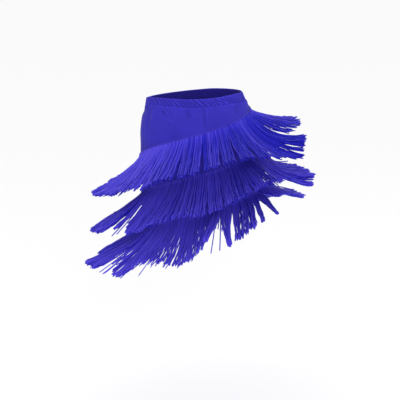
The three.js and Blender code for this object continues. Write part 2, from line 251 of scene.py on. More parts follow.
# How the swung fringe lies, a table for each tier and a row for each bundle:
# degrees up from hanging straight down, the turn of a strand round the skirt,
# its length, how much lower it starts and higher it ends than its rise, and how
# far a bundle's tips draw together, up to 1
BUNDLES = [
    table("angle rise sweep length curl gather", [
        (-180, 60, 0, 180, 12, 0.15), (-163, 59, 2, 180, 12, 0.25),
        (-145, 58, 4, 180, 12, 0.15), (-126, 56.5, 9, 180, 12, 0.2),
        (-110, 52.8, 14, 176, 12, 0.15), (-90, 53.6, 20, 174, 14, 0.15),
        (-75, 55.6, 21, 176, 17, 0.2), (-60, 57.2, 14, 180, 16, 0.1),
        (-45, 61.4, 12, 188, 10, 0.05), (-36, 61, 9, 190, 6, 0.08),
        (-22, 67, 2, 180, 12, 0.12), (-4, 68.5, -4, 180, 12, 0.25),
        (12, 70.5, -13, 180, 12, 0.25), (24, 72, -22, 180, 12, 0.3),
        (34, 72, -22, 180, 11, 0.3), (44, 68.5, -15, 180, 9, 0.15),
        (50, 64.5, -2, 184, 22, 0.2), (56, 60.5, 29, 192, 27, 0.3),
        (62, 60.2, 31, 198, 25, 0.3), (64.5, 63, 24, 193, 26, 0), (67, 66.5, 16, 187, 28, 0.3),
        (70, 68.8, 9, 186, 33, 0), (73, 70.7, 2, 186, 37, 0.15), (79, 68.3, 6, 175, 35, 0.15),
        (85, 62.6, 46, 136, 22, 0.1), (88, 68.8, 49, 158, 14, 0), (91, 73.3, 52, 178, 14, 0.1),
        (97, 75.6, 48, 184, 13, 0.1), (106, 75.2, 30, 177, 11, 0.1),
        (119, 75, 8, 176, 12, 0.15), (134, 71.5, 4, 180, 12, 0.2),
        (150, 66, 0, 180, 12, 0.15), (165, 62, 0, 180, 12, 0.2),
    ]),
    table("angle rise sweep length curl gather", [
        (-180, 58, 0, 180, 12, 0.15), (-163, 58, 0, 180, 12, 0.2),
        (-145, 56, 2, 180, 12, 0.25), (-126, 55, 10, 181, 12, 0.15),
        (-110, 54, 20, 178, 4, 0.25), (-92, 54.8, 21, 181, 6, 0.15),
        (-75, 57.2, 13, 183, 10, 0.2), (-64, 57.5, 3, 182, 12, 0.35),
        (-55.5, 59, 9, 176, 14, 0.8), (-47, 51.5, -4, 178, 12, 0.35),
        (-36, 54, -12, 181, 12, 0.1), (-22, 63, -8, 180, 12, 0.05),
        (-10, 67, -4, 180, 12, 0.1), (0, 65, -8, 180, 12, 0.2),
        (12, 66.5, -12, 180, 12, 0.15), (22, 72, -19, 180, 10, 0.15),
        (32, 74, -30, 180, 6, 0.1), (42, 79, -32, 180, 0, 0.15),
        (52, 79.5, -35, 184, 5, 0.2), (58, 70, 2, 132, 12, 0.2),
        (63, 65, 38, 190, 22, 0.35),
        (74, 72, 2, 184, 30, 0.25), (82, 64.4, 32, 173, 34, 0.2),
        (92, 62.2, 28, 178, 30, 0.15), (105, 60.6, 11, 178, 30, 0.15),
        (118, 62.3, -6, 178, 26, 0.15), (134, 63, 0, 179, 18, 0.2),
        (150, 62, 0, 180, 12, 0.15), (165, 61, 0, 180, 12, 0.2),
    ]),
    table("angle rise sweep length curl gather", [
        (-180, 54, 0, 184, 12, 0.15), (-163, 57, 0, 185, 12, 0.2),
        (-145, 59, 0, 186, 12, 0.25), (-126, 60, -4, 182, 12, 0.15),
        (-110, 58, -20, 178, 4, 0.2), (-92, 59.4, -46, 169, -8, 0.5),
        (-75, 63, -8, 205, 13, 0.5), (-63, 59, -23, 205, 7, 0.25),
        (-56, 55, -28, 204, 10, 0.3), (-49, 51, -33, 205, 12, 0.2), (-44, 50, -32, 205, 12, 0.2),
        (-37, 51, -30, 172, 13, 0.1),
        (-26, 53, -16, 186, 12, 0.1), (-20, 54.2, -10, 187, 15, 0),
        (-14, 55.8, -5, 188, 19, 0.08),
        (-4, 62.3, -12, 191, 12, 0.1), (4, 69.3, -19, 185, 2, 0.3),
        (11, 74, -37, 175, -2, 0.68), (19, 68.8, -16, 184, 5, 0.85),
        (33, 70.5, -42, 180, 6, 0.2), (38, 73.4, -48, 180, 3, 0), (43, 76.7, -53, 180, -1, 0.3),
        (51, 80, -60, 180, 4, 0.6), (59, 83.5, -61, 176, 4, 0.85),
        (66, 85, -4, 74, 4, 0.3), (74, 77.5, 34, 82, 4, 0.3), (82, 70.2, 70, 144, 6, 0.3),
        (92, 68.8, 66, 174, 10, 0.2), (103, 68.3, 49, 176, 11, 0.2),
        (115, 69, 28, 178, 9, 0.15), (132, 66, 10, 181, 12, 0.2),
        (150, 60, 0, 182, 12, 0.15), (165, 57, 0, 183, 12, 0.2),
    ]),
]

# Where strands end raggedly: near an angle some keep only a share of their length
RAGGED = table("tier angle width least", [
    (0, -40, 6, 0.88), (1, -60, 1.6, 0.3), (1, -51.5, 3, 0.45), (2, -56.5, 4.4, 0.05),
    (2, -27, 8, 0.76), (2, 8, 2.5, 0.75), (2, 24, 2, 0.5),
    (2, 54.5, 1.6, 0.45), (2, 170, 16, 0.85),
])

# Painted shade and painted light: where a tier's strands are darker, in the shadow of other bundles, or
# lighter where light falls on them, round an angle
PAINTED_STRAND_SHADES = table("tier angle width shade", [
    (0, 0, 30, -0.4), (0, 34, 16, -0.55), (0, 69, 16, -1.3), (0, 95, 16, -0.25),
    (0, -55, 30, 0.24), (1, 40, 20, -0.25), (1, -20, 50, 0.22), (2, -60, 30, 0.15),
    (2, 0, 40, 0.68),
])

# Where single strands hang
STRAYS = table("tier angle rise sweep length", [
    (0, 44, 18, 0, 60),
    (2, 11, 62, -24, 176),
    (2, 15.3, 64, -22, 177),
    (1, -53, 54, 4, 178),
    (1, -56, 53, 2, 182),
    (2, -56, 52, -30, 196),
    (2, -57.4, 55.6, -27, 203),
    (2, -54.6, 54, -29, 204),
    (2, -32, 49, -26, 192),
    (0, -52, 56, 8, 176),
    (0, 140, 52, 6, 170),
    (1, 170, 48, -4, 176),
    (2, -150, 50, 6, 182),
    (2, 13.6, 66, -28, 92),
    (2, 15, 68, -26, 100),
    (2, 16.2, 67, -24, 106),
    (2, 17, 70, -28, 114),
    (2, 17.8, 69, -24, 108),
    (2, 18.6, 70, -30, 120),
    (2, 19.4, 70, -34, 112),
])

# Soft creases of the panels: where each starts, how far down it runs and how
# far it drifts sideways on the way, its half width, and its height above the
# cloth, where a trough is below zero
CREASES = table("angle drop length drift width height", [
    (-40.5, 29, 24, 30, 5.0, -1.7),
    (-38, 34, 30, 34, 7.0, 1.1),
    (-30, 30, 16, 12, 4.0, -0.7),
    (-9.5, 31, 20, 8, 4.0, -1.0),
    (-3, 30, 24, 5, 5.0, 0.6),
    (9.3, 27, 56, -3, 3.0, -0.8),
    (12, 27, 50, -3, 4.0, 0.6),
    (52, 30, 26, -14, 5.0, -0.8),
    (-62, 27, 60, 4, 7.0, -0.9),
    (-55, 26, 34, 9, 5.0, 0.7),
    (70, 26, 20, -8, 5.0, 0.6),
    (-108, 29, 30, -18, 5.0, -1.3),
    (-126, 30, 44, -6, 5.0, -0.9),
    (-140, 28, 30, 10, 6.0, 0.8),
    (-163, 30, 26, 22, 5.0, -1.4),
    (178, 27, 60, 3, 3.5, -0.8),
    (163, 29, 30, -16, 5.0, -1.2),
    (146, 28, 22, -10, 6.0, 0.8),
    (126, 27, 20, -6, 4.0, -0.7),
    (-90, 40, 80, 0, 60.0, 0.7),
    (95, 22, 30, 0, 40.0, 0.7),
])


def smooth(rows, key, column, value, period=None):
    """Smooth curve through a table's rows; with a period it closes on itself."""
    x, y = rows[key], rows[column]
    count = len(x)
    v = np.asarray(value, float)
    if period:
        v = x[0] + (v - x[0]) % period
    last = count - 1 if period else count - 2
    i = np.clip(np.searchsorted(x, v, side="right") - 1, 0, last)

    def at(k):
        if period:
            return x[k % count] + period * (k // count), y[k % count]
        k = np.clip(k, 0, count - 1)
        return x[k], y[k]

    (x0, y0), (x1, y1), (x2, y2), (x3, y3) = (at(i + k) for k in (-1, 0, 1, 2))
    width = x2 - x1
    t = np.clip((v - x1) / width, 0, 1)
    slope_1 = (y2 - y0) / (x2 - x0) * width
    slope_2 = (y3 - y1) / (x3 - x1) * width
    return ((2 * t**3 - 3 * t**2 + 1) * y1 + (t**3 - 2 * t**2 + t) * slope_1
            + (-2 * t**3 + 3 * t**2) * y2 + (t**3 - t**2) * slope_2)


def smoothstep(t):
    t = np.clip(t, 0, 1)
    return t * t * (3 - 2 * t)


def around(angle, base):
    """Signed turn from base to angle, in degrees."""
    return (np.asarray(angle) - base + 180) % 360 - 180


def near(angle, at, width):
    """1 at an angle, fading to 0 past a width on both sides of it."""
    return np.exp(-(around(angle, at) / width) ** 2)


def waver(angle, waves):
    """A sum of waves round the skirt: height, waves in a turn, phase."""
    turn = np.radians(angle)
    return sum(height * np.sin(turn * count + phase) for height, count, phase in waves)


def bundled(rows, column, angle):
    """A bundle table's value, level at each row, so strands near a row follow it."""
    x, y, sweep = rows["angle"], rows[column], rows["sweep"]
    count = len(x)
    v = x[0] + (np.asarray(angle, float) - x[0]) % 360
    i = np.searchsorted(x, v, side="right") - 1
    j = (i + 1) % count
    end = np.where(i + 1 < count, x[j], x[j] + 360)
    t = (v - x[i]) / (end - x[i])
    parts = np.abs(sweep[j] - sweep[i]) > PARTING_TURN
    share = np.where(parts, t > 0.5, smoothstep(t))
    return y[i] + (y[j] - y[i]) * share


def bundle_at(rows, angle):
    """The number of the bundle that each angle belongs to."""
    return np.argmin(np.abs(around(rows["angle"][None, :], np.asarray(angle)[:, None])), axis=1)


def of_tier(rows, tier):
    """The rows of a table that belong to a tier, without that column."""
    mine = rows["tier"] == tier
    return {name: column[mine] for name, column in rows.items() if name != "tier"}


def depth_at(angle, drop):
    """Depth of the form, before or behind its centre."""
    return np.where(np.cos(np.radians(angle)) > 0, smooth(SECTIONS, "drop", "front", drop),
                    smooth(SECTIONS, "drop", "back", drop))


def outward(angle, drop):
    """Direction straight out of the form, in its own upright frame."""
    a = np.radians(angle)
    x = np.sin(a) / smooth(SECTIONS, "drop", "half", drop)
    y = -np.cos(a) / depth_at(angle, drop)
    size = np.hypot(x, y)
    return np.stack([x / size, y / size, np.zeros_like(x)], axis=-1)


def place(angle, drop, out):
    """Points of the leaning skirt, out from the wall's inside."""
    angle, drop, out = np.broadcast_arrays(*(np.asarray(v, float) for v in (angle, drop, out)))
    a = np.radians(angle)
    away = outward(angle, drop)
    x = smooth(SECTIONS, "drop", "half", drop) * np.sin(a)
    x = x + smooth(SECTIONS, "drop", "shift", drop) + out * away[..., 0]
    y = -depth_at(angle, drop) * np.cos(a) + out * away[..., 1]
    z = BAND_HEIGHT / 2 - drop
    c, s = math.cos(LEAN), math.sin(LEAN)
    return np.stack([c * x - s * z, y, s * x + c * z], axis=-1)


def band_bottom(angle):
    return smooth(BAND_EDGES, "angle", "bottom", angle, 360)


def tape_top(tier, angle):
    return smooth(TAPE_LINE, "angle", "drop", angle, 360) + tier * TIER_SPACING


def hem_drop(angle):
    return tape_top(TIERS - 1, angle) + TAPE_HEIGHT + HEM_BELOW_TAPE


def crease_height(angle, drop):
    """The panels' soft creases, above or below the form."""
    total = np.zeros(np.broadcast(angle, drop).shape)
    for at, start, length, drift, width, height in zip(*CREASES.values()):
        t = (drop - start) / length
        line = drift * t / MM_PER_DEGREE
        across = (around(angle, at) - line) * MM_PER_DEGREE / width
        swell = smoothstep(CREASE_ENDS["swell"] * (t + CREASE_ENDS["before"]))
        fade = smoothstep(CREASE_ENDS["fade"] * (1 + CREASE_ENDS["after"] - t))
        total += CREASE_SCALE * height * np.exp(-across**2) * swell * fade
    return total


def pucker_height(angle, drop):
    """The cloth that swells out and puckers under the waistband."""
    below = drop - band_bottom(angle)
    reach = PUFF["reach"] + waver(angle, PUFF_WAVES)
    puffed = smoothstep((below - PUFF["start"]) / PUFF["swell"])
    puffed = puffed * smoothstep((reach - below) / PUFF["fade"])
    turn = np.radians(angle) * GATHERS + waver(angle, PUCKER_WAVES)
    pucker = np.sin(turn) * np.exp(-(below / PUCKER["reach"]) ** 2)
    return PUFF["height"] * puffed + PUCKER["height"] * pucker


def ripple_height(angle, drop):
    """Fine ripples over the first tape, on the left of the front."""
    above = tape_top(0, angle) - drop
    ripple = np.exp(-((above - RIPPLE["above"]) / RIPPLE["width"]) ** 2)
    swell = smoothstep(around(angle, RIPPLE_SIDES["from"]) / RIPPLE_SIDES["swell"])
    fade = smoothstep(-around(angle, RIPPLE_SIDES["to"]) / RIPPLE_SIDES["fade"])
    return RIPPLE["height"] * ripple * np.sin(above * RIPPLE["turn"]) * swell * fade


def relief(angle, drop):
    """How far the panels' cloth stands off the form."""
    return crease_height(angle, drop) + pucker_height(angle, drop) + ripple_height(angle, drop)


def build(name, points, polygons, lay, material):
    """A smooth mesh from points in millimetres, arrays of polygon corners and the points' lay."""
    points = points.reshape(-1, 3)
    mesh = bpy.data.meshes.new(name)
    mesh.vertices.add(len(points))
    mesh.vertices.foreach_set("co", (points * MM).astype(np.float32).ravel())
    corners = np.concatenate([p.ravel() for p in polygons]).astype(np.int32)
    sizes = np.concatenate([np.full(len(p), p.shape[1]) for p in polygons])
    starts = np.concatenate([[0], np.cumsum(sizes)[:-1]]).astype(np.int32)
    mesh.loops.add(len(corners))
    mesh.loops.foreach_set("vertex_index", corners)
    mesh.polygons.add(len(sizes))
    mesh.polygons.foreach_set("loop_start", starts)
    mesh.update(calc_edges=True)
    mesh.shade_smooth()
    attribute = mesh.attributes.new("lay", "FLOAT_VECTOR", "POINT")
    attribute.data.foreach_set("vector", lay.astype(np.float32).ravel())
    mesh.materials.append(material)
    piece = bpy.data.objects.new(name, mesh)
    bpy.context.scene.collection.objects.link(piece)
    return piece


def ring_faces(columns, ring, is_loop):
    """Faces of a wall through rings of points, with its ends zipped up."""
    i = np.arange(columns if is_loop else columns - 1)[:, None]
    j = np.arange(ring)[None, :]
    here, there = i * ring, (i + 1) % columns * ring
    k = (j + 1) % ring
    faces = [np.stack([here + j, there + j, there + k, here + k], axis=-1).reshape(-1, 4)]
    if not is_loop:
        j = np.arange(ring // 2 - 1)
        cap = np.stack([j, j + 1, ring - 2 - j, ring - 1 - j], axis=-1)
        faces += [cap, (cap + (columns - 1) * ring)[:, ::-1]]
    return np.concatenate(faces)


def facing_out(points, faces):
    """The faces, turned over if they enclose the wall inside out."""
    p = points.reshape(-1, 3)[faces]
    volume = np.einsum("ij,ij->i", p[:, 0], np.cross(p[:, 1], p[:, 2])).sum()
    volume += np.einsum("ij,ij->i", p[:, 0], np.cross(p[:, 2], p[:, 3])).sum()
    return faces if volume > 0 else faces[:, ::-1]


def ring_wall(name, turn, drop, out, shade, is_loop, material):
    """A closed wall from rings of points across it, each with its shade."""
    points = place(turn, drop, out)
    faces = facing_out(points, ring_faces(*drop.shape, is_loop))
    lay = np.stack([turn * MM_PER_DEGREE, drop, shade], axis=-1) * MM
    return build(name, points, [faces], lay, material)


def wall(name, angle, drop, outside, inside, is_loop, material, shade=1.0):
    """A closed wall: a row of drops for each angle, and how far out its two faces lie."""
    turn = np.broadcast_to(angle[:, None], drop.shape)
    shades = np.concatenate([shade * np.ones(drop.shape), np.zeros(drop.shape)], axis=1)
    turn, drop, out = (np.concatenate([outer, inner[:, ::-1]], axis=1)
                       for outer, inner in ((turn, turn), (drop, drop), (outside, inside)))
    return ring_wall(name, turn, drop, out, shades, is_loop, material)


def tubes_round(lines, radius, spin):
    """Closed tubes round the lines: points by strand, stop and side."""
    ahead = np.diff(lines, axis=1)
    ahead = np.concatenate([ahead, ahead[:, -1:]], axis=1)
    ahead[:, 1:-1] += np.diff(lines, axis=1)[:, :-1]
    ahead /= np.linalg.norm(ahead, axis=2, keepdims=True)
    side = np.cross(ahead[:, 0], UP + OUT_TIP * lines[:, 0] / FORM_RADIUS)
    sides = []
    for k in range(lines.shape[1]):
        side = side - (side * ahead[:, k]).sum(axis=1, keepdims=True) * ahead[:, k]
        side /= np.linalg.norm(side, axis=1, keepdims=True)
        sides.append(side)
    side = np.stack(sides, axis=1)
    other = np.cross(ahead, side)
    turn = np.arange(STRAND_SIDES) / STRAND_SIDES * 2 * math.pi
    turn = turn[None, :] + spin[:, None]
    c, s = np.cos(turn)[:, None, :, None], np.sin(turn)[:, None, :, None]
    across = c * side[:, :, None] + s * other[:, :, None]
    return lines[:, :, None] + radius[..., None, None] * across


def tube_faces(count, stops):
    """Faces of closed tubes, by strand, stop and side, and of their two ends."""
    sides = STRAND_SIDES
    base = np.arange(count)[:, None, None] * stops * sides
    i = np.arange(stops - 1)[None, :, None] * sides
    j = np.arange(sides)[None, None, :]
    k = (j + 1) % sides
    here, there = base + i, base + i + sides
    quads = np.stack([here + j, here + k, there + k, there + j], axis=-1)
    start = base[:, 0] + np.arange(sides)[::-1]
    end = base[:, 0] + (stops - 1) * sides + np.arange(sides)
    return [quads.reshape(-1, 4), start, end]


# Materials

def new_material(name):
    """A material and its shader."""
    material = bpy.data.materials.new(name)
    material.use_nodes = True
    return material, material.node_tree.nodes["Principled BSDF"]


def feed(material, made, inputs):
    """Link each value into the node's input of that name or number, or set it there."""
    for name, value in inputs.items():
        if isinstance(value, bpy.types.NodeSocket):
            material.node_tree.links.new(value, made.inputs[name])
        else:
            made.inputs[name].default_value = value


def add_node(material, kind, inputs, **settings):
    """A new node with its settings and its inputs."""
    made = material.node_tree.nodes.new(kind)
    for name, value in settings.items():
        setattr(made, name, value)
    feed(material, made, inputs)
    return made


def calculated(material, operation, *values):
    """The result of a math node."""
    inputs = dict(enumerate(values))
    return add_node(material, "ShaderNodeMath", inputs, operation=operation).outputs[0]


def weighted_sum(material, *terms):
    """The sum of values, each given with its weight."""
    total = calculated(material, "MULTIPLY", *terms[0])
    for value, weight in terms[1:]:
        total = calculated(material, "ADD", total, calculated(material, "MULTIPLY", value, weight))
    return total


def wave(material, along, pitch):
    """A wave along a distance in metres, with its pitch in millimetres."""
    turn = calculated(material, "MULTIPLY", along, 2 * math.pi / (pitch * MM))
    return calculated(material, "SINE", turn)


def noise(material, scale, detail):
    place_in = add_node(material, "ShaderNodeTexCoord", {})
    inputs = {"Vector": place_in.outputs["Object"], "Scale": scale, "Detail": detail}
    return add_node(material, "ShaderNodeTexNoise", inputs).outputs["Fac"]


def lay_of(material):
    """Where each point is along and across the cloth or yarn, and its shade."""
    lay = add_node(material, "ShaderNodeAttribute", {}, attribute_name="lay")
    return add_node(material, "ShaderNodeSeparateXYZ", {0: lay.outputs["Vector"]}).outputs


def ramped(material, value, stops):
    """The colour for a value, between stops that each have a position and a colour."""
    ramp = add_node(material, "ShaderNodeValToRGB", {0: value})
    for element, (position, colour) in zip(ramp.color_ramp.elements, stops):
        element.position = position
        element.color = (*colour, 1)
    return ramp.outputs["Color"]


def mixed(material, factor, first, second):
    """The first colour where the factor is 0, and the second where it is 1."""
    inputs = {"Factor": factor, "A": first, "B": second}
    return add_node(material, "ShaderNodeMix", inputs, data_type="RGBA").outputs["Result"]


def darkened(colour, share):
    return (*(share * channel for channel in colour), 1)


def bumped(material, height, strength):
    inputs = {"Strength": strength, "Distance": BUMP_DEPTH, "Height": height}
    return add_node(material, "ShaderNodeBump", inputs).outputs["Normal"]


def knit(name, dark, light, pitch, bump, roughness, sheen, ribs=None):
    """Stretch knit: fine wales and courses, uneven dye, painted shade in folds and troughs, and painted
    shade on the inner face.
    """
    material, shader = new_material(name)
    across, down, shade = lay_of(material)
    threads = [(wave(material, across, pitch), KNIT_RELIEF["wales"]),
               (wave(material, down, pitch / COURSES_PER_WALE), KNIT_RELIEF["courses"])]
    if ribs:
        threads.append((wave(material, across, ribs), KNIT_RELIEF["ribs"]))
    cloud, fuzz = noise(material, **CLOUD), noise(material, **FUZZ)
    height = weighted_sum(material, *threads, (fuzz, KNIT_RELIEF["fuzz"]))
    dye = weighted_sum(material, (cloud, KNIT_DYE["cloud"]), (fuzz, KNIT_DYE["fuzz"]))
    colour = ramped(material, dye, zip(DYE_RANGE, (dark, light)))
    # Painted shade: the lay's shade darkens the colour towards the deepest fold
    lightness = calculated(material, "DIVIDE", shade, MM)
    colour = mixed(material, lightness, darkened(dark, DEEPEST_PAINTED_SHADE), colour)
    # Painted shade on a wall's inner face
    is_inner = calculated(material, "LESS_THAN", shade, INNER_SHADE)
    colour = mixed(material, is_inner, colour, darkened(dark, INSIDE_PAINTED_SHADE))
    feed(material, shader, {
        "Base Color": colour, "Normal": bumped(material, height, strength=bump), "Roughness": roughness,
        "Sheen Weight": sheen, "Sheen Roughness": 0.45, "Specular IOR Level": 0.12,
    })
    return material


def body_jersey():
    """Smooth stretch jersey of the panels."""
    return knit("body_jersey", dark=(0.029, 0.021, 0.375), light=(0.04, 0.03, 0.5), pitch=1.1,
                bump=0.25, roughness=0.7, sheen=0.02)


def band_jersey():
    """The waistband's jersey, with the elastic's fine ribs."""
    return knit("band_jersey", dark=(0.029, 0.02, 0.37), light=(0.04, 0.031, 0.52), pitch=1.1,
                bump=0.3, roughness=0.7, sheen=0.03, ribs=2.4)


def tape_weave():
    """The fringe's coarser tape."""
    return knit("tape_weave", dark=(0.032, 0.023, 0.36), light=(0.046, 0.034, 0.48), pitch=1.3,
                bump=0.7, roughness=0.65, sheen=0.05, ribs=3.0)


def fringe_yarn():
    """Twisted silky yarn: each strand has its own shade, with painted light and shade in it, and a fine
    twist.
    """
    material, shader = new_material("fringe_yarn")
    along, side, shade = lay_of(material)
    turn = weighted_sum(material, (along, 2 * math.pi / (TWIST_PITCH * MM)), (side, 2 * math.pi))
    twist = calculated(material, "SINE", turn)
    lightness = weighted_sum(material, (shade, 1.0), (twist, TWIST_SHADE))
    dark, light = (0.009, 0.008, 0.42), (0.084, 0.06, 0.66)
    colour = ramped(material, lightness, [(0.0, dark), (1.0, light)])
    feed(material, shader, {
        "Base Color": colour, "Normal": bumped(material, twist, strength=0.5), "Roughness": 0.48,
        "Sheen Weight": 0.03, "Specular IOR Level": 0.13,
    })
    return material


# Pieces

def make_waistband(material):
    """Elastic casing: gathers with rounded crests and narrow valleys, leaning."""
    columns = GATHERS * COLUMNS_PER_GATHER
    angle = (np.arange(columns) / columns * 360 - 180)[:, None]
    share, height = BAND_RING["share"], BAND_RING["height"]
    down = np.broadcast_to(BAND_RING["down"], (columns, len(share)))

    bend = GATHER_BEND + waver(angle, BEND_WAVES)
    for at, width, more in zip(*FOLDS.values()):
        bend = bend + more * near(angle, at, width)
    lean = GATHER_LEAN * (down - 0.5) / BAND_MM_PER_DEGREE
    turn = angle + lean + bend * np.sin((down * 2 - 1) * math.pi)

    phase = angle / 360 * GATHERS + waver(angle, SPACING_WAVES)
    crest = np.abs(np.sin(phase * math.pi)) ** CREST_POWER
    strength = GATHER_STRENGTH + waver(angle, STRENGTH_WAVES)
    for at, width, less in zip(*SMOOTHER.values()):
        strength = strength * (1 - less * near(angle, at, width))
    out = BAND_VALLEY * share + GATHER_RISE * (crest * strength * height)
    # Painted shade: the bottom of each fold is darker, most where the gathers stand high
    shade = 1 - FOLD_PAINTED_SHADE * (1 - crest) * np.minimum(1, 2 * strength) * height

    # The inner face, from the lower seam back up to the top
    inner_down = np.broadcast_to(INNER_ROWS[::-1], (columns, len(INNER_ROWS)))
    rib = np.sin(angle / 360 * GATHERS * 2 * math.pi) * np.sin(inner_down * math.pi)
    inner_out = INNER_RIB * rib - INNER_RIB

    turn = np.concatenate([turn, np.broadcast_to(angle, rib.shape)], axis=1)
    top = smooth(BAND_EDGES, "angle", "top", angle, 360)
    drop = top + (band_bottom(angle) - top) * np.concatenate([down, inner_down], axis=1)
    out = np.concatenate([out, inner_out], axis=1)
    # The inner face gets painted shade in its material
    shade = np.concatenate([shade, np.zeros(rib.shape)], axis=1)
    return ring_wall("waistband_cloth", turn, drop, out, shade, True, material)


def make_panel(name, first_seam, last_seam, material):
    """A shell between two seams, from under the waistband to its hem."""
    angle = np.linspace(first_seam, last_seam, PANEL_COLUMNS)
    top = band_bottom(angle)[:, None] - TUCK
    hem = hem_drop(angle)[:, None]
    drop = top + PANEL_ROWS[None, :] * (hem - top)
    height = relief(angle[:, None], drop)
    from_seam = np.minimum(angle - first_seam, last_seam - angle)[:, None] * MM_PER_DEGREE
    sunk = SEAM["depth"] * np.exp(-(from_seam / SEAM["width"]) ** 2)
    from_line = (hem - HEM_LINE["up"] - drop) / HEM_LINE["width"]
    outside = CLOTH + height - sunk - HEM_LINE["depth"] * np.exp(-from_line**2)
    # Painted shade and light: darker in troughs, in the seams' grooves and over the left hip, lighter
    # on ridges and the puff under the band
    painted_hip_shade = near(angle, HIP_PAINTED_SHADE["angle"], HIP_PAINTED_SHADE["width"])[:, None]
    shade = CLOTH_SHADE + RELIEF_PAINTED_SHADE * height - SEAM["shade"] * sunk - HIP_PAINTED_SHADE["less"] * painted_hip_shade
    shade = np.clip(shade, DARKEST_CLOTH, 1)
    return wall(name, angle, drop, outside, height - sunk + LINING, False, material, shade)


def make_tape(tier, material):
    """The fringe's header: a ring of woven tape with rounded edges."""
    columns = TAPE_RIBS * COLUMNS_PER_RIB
    angle = np.arange(columns) / columns * 360 - 180
    drop = tape_top(tier, angle)[:, None] + TAPE_RING["down"]
    inside = TAPE_OUT + relief(angle[:, None], drop)
    rib = np.cos(np.arange(columns) / COLUMNS_PER_RIB * 2 * math.pi)[:, None]
    outside = inside + TAPE_THICKNESS * TAPE_RING["proud"] + RIB_HEIGHT * rib * TAPE_RING["ribbed"]
    inside = inside + TAPE_THICKNESS * TAPE_EDGE * (1 - TAPE_RING["proud"])
    return wall(f"tape_{tier + 1}", angle, drop, outside, inside, True, material)


def strand_lines(tier, angle, rise, sweep, length, curl, root_out):
    """Middle lines of strands that leave the tape at their angles."""
    bottom = tape_top(tier, angle) + TAPE_HEIGHT
    along = (np.arange(LINE_STEPS) + 0.5) / LINE_STEPS
    droop = ROOT_DROOP["angle"] * np.exp(-along / ROOT_DROOP["reach"])
    up = np.radians(rise[:, None] + curl[:, None] * (2 * along - 1) - droop)
    turn = np.radians(sweep)[:, None] * SWEEP_SHARE * (1 - np.exp(-along / SWEEP_REACH))
    away = outward(angle, bottom)
    side = np.stack([-away[:, 1], away[:, 0], np.zeros(len(angle))], axis=-1)
    step = away[:, None] * np.cos(turn)[..., None] + side[:, None] * np.sin(turn)[..., None]
    step = step * np.sin(up)[..., None]
    step[..., 2] = -np.cos(up)
    step = step * (length / LINE_STEPS)[:, None, None]
    root = place(angle, bottom - ROOT_UP, root_out)
    start = place(angle, bottom - LEAVES_UP, root_out)
    path = np.concatenate([root[:, None], start[:, None] + np.cumsum(step, axis=1)], axis=1)
    grid = np.linspace(0, 1, LINE_STEPS + 1)
    i = np.clip(np.searchsorted(grid, STRAND_STOPS, side="right") - 1, 0, LINE_STEPS - 1)
    t = ((STRAND_STOPS - grid[i]) * LINE_STEPS)[None, :, None]
    return path[:, i] * (1 - t) + path[:, i + 1] * t


def row_lines(tier, rows, root_out):
    """A line for each row of a table."""
    columns = (rows[name] for name in ("angle", "rise", "sweep", "length", "curl"))
    return strand_lines(tier, *columns, root_out)


def spaced(rng, count, spacing):
    """Angles round the skirt, one in each of so many equal steps."""
    return (np.arange(count) + rng.uniform(*spacing, count)) / count * 360 - 180


def drawn_lines(rng, tier, angle, spread, lift):
    """Lines at these angles, each strayed a little and drawn to its bundle's middle."""
    rows, count = BUNDLES[tier], len(angle)
    rise = bundled(rows, "rise", angle) + rng.normal(0, spread["rise"], count) + LIFT["rise"] * lift
    sweep = bundled(rows, "sweep", angle) + rng.normal(0, spread["sweep"], count)
    length = bundled(rows, "length", angle) * (1 - SHORTER * rng.uniform(0, 1, count) ** 2)
    for at, width, least in zip(*of_tier(RAGGED, tier).values()):
        less = near(angle, at, width) * (1 - least) * rng.uniform(0, 1, count) ** RAGGED_POWER
        length = length * (1 - less)
    curl = bundled(rows, "curl", angle) + rng.normal(0, spread["curl"], count)
    lines = strand_lines(tier, angle, rise, sweep, length, curl, STRAND_MIDDLE + LIFT["out"] * lift)
    bundle = bundle_at(rows, angle)
    share = rows["gather"][bundle] * rng.uniform(*BUNDLE_PULLS, count)
    share = share[:, None, None] * smoothstep((ALONG - BUNDLE_START) / BUNDLE_REACH)
    return lines + (row_lines(tier, rows, STRAND_MIDDLE)[bundle] - lines) * share, length


def nearest_clumps(rows, angle, clump_angle):
    """The clump of its own bundle nearest to each strand, and how many degrees off."""
    is_other = bundle_at(rows, angle)[:, None] != bundle_at(rows, clump_angle)[None, :]
    gap = np.abs(around(angle[:, None], clump_angle[None, :])) + OUT_OF_REACH * is_other
    return np.argmin(gap, axis=1), gap.min(axis=1)


def clumped(rng, lines, middles, clump):
    """Strands drawn to their clump's middle line, further and further along."""
    toward = middles[clump] - lines
    pull = rng.uniform(*CLUMP_PULLS, CLUMPS)[clump] * rng.uniform(*STRAND_PULLS, len(lines))
    is_near = np.linalg.norm(toward[:, -1], axis=1) < CLUMP_REACH
    pull = np.where(is_near, pull, 0)[:, None, None]
    return lines + toward * (pull * smoothstep(ALONG * CLUMP_GAIN + CLUMP_START))


def wavering(rng, lines):
    """Strands that waver a little in every direction."""
    phase = rng.uniform(0, 2 * math.pi, (len(lines), 1, 3))
    waves = rng.uniform(*WAVER["waves"], (len(lines), 1, 3))
    wave_out = WAVER["height"] * ALONG ** WAVER["power"] * np.sin(phase + waves * 2 * math.pi * ALONG)
    return lines + wave_out * np.minimum(1, ALONG * WAVER["swell"])


def strand_shades(rng, tier, angle, clump, lift):
    """Each strand's shade: its own and its clump's, painted light in front and painted shade behind,
    and painted light and shade as the table says.
    """
    of_clump = CLUMP_SHADE * rng.normal(0, 1, CLUMPS)
    shade = MEAN_SHADE + SHADE_SPREAD[tier] * rng.normal(0, 1, len(angle))
    shade = shade + of_clump[clump] + LAYER_PAINTED_SHADE * lift
    # Painted light and shade from the table, round each angle
    for at, width, more in zip(*of_tier(PAINTED_STRAND_SHADES, tier).values()):
        shade += more * near(angle, at, width)
    return np.clip(shade, 0, 1)


